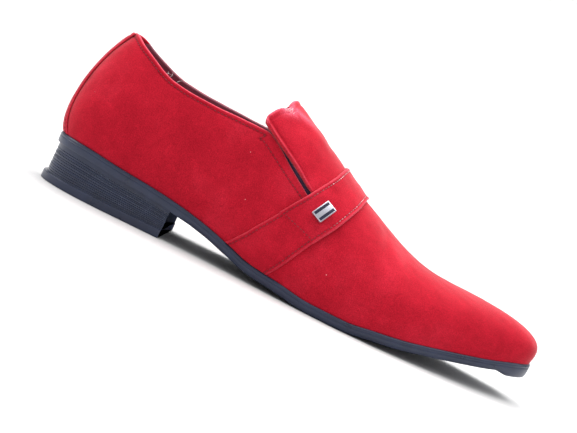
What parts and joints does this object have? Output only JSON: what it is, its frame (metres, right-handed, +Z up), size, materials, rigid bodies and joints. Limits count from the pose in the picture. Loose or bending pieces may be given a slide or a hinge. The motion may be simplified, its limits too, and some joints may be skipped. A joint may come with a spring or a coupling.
{
  "type": "dress shoe",
  "caption": "Right slip-on dress shoe: hollow suede upper, tongue with elastic gores, instep strap with a small metal plate, thin sole and ribbed heel.",
  "frame": {"origin": "middle of the shoe's footprint on the floor, at the underside of heel and forefoot", "axes": "+X from heel to toe, +Y towards the inner side of the foot, +Z up"},
  "size_m": [0.3002, 0.0982, 0.1004],
  "materials": {
    "suede": "napped suede, dyed red",
    "lining": "smooth maroon lining leather",
    "rubber": "moulded dark blue-grey rubber, satin",
    "elastic": "black woven elastic",
    "metal": "satin nickel",
    "enamel": "black enamel"
  },
  "bodies": {
    "root": {"outsole": "rubber", "heel_stack": "rubber", "heel_top_piece": "rubber", "insole": "lining", "upper": "suede", "tongue": "suede", "elastic_gore_lateral": "elastic", "elastic_gore_medial": "elastic", "strap": "suede", "strap_base_lateral": "suede", "strap_base_medial": "suede", "back_panel": "suede", "ornament_plate": "metal", "ornament_bar_rear": "enamel", "ornament_bar_front": "enamel"}
  },
  "joints": []
}
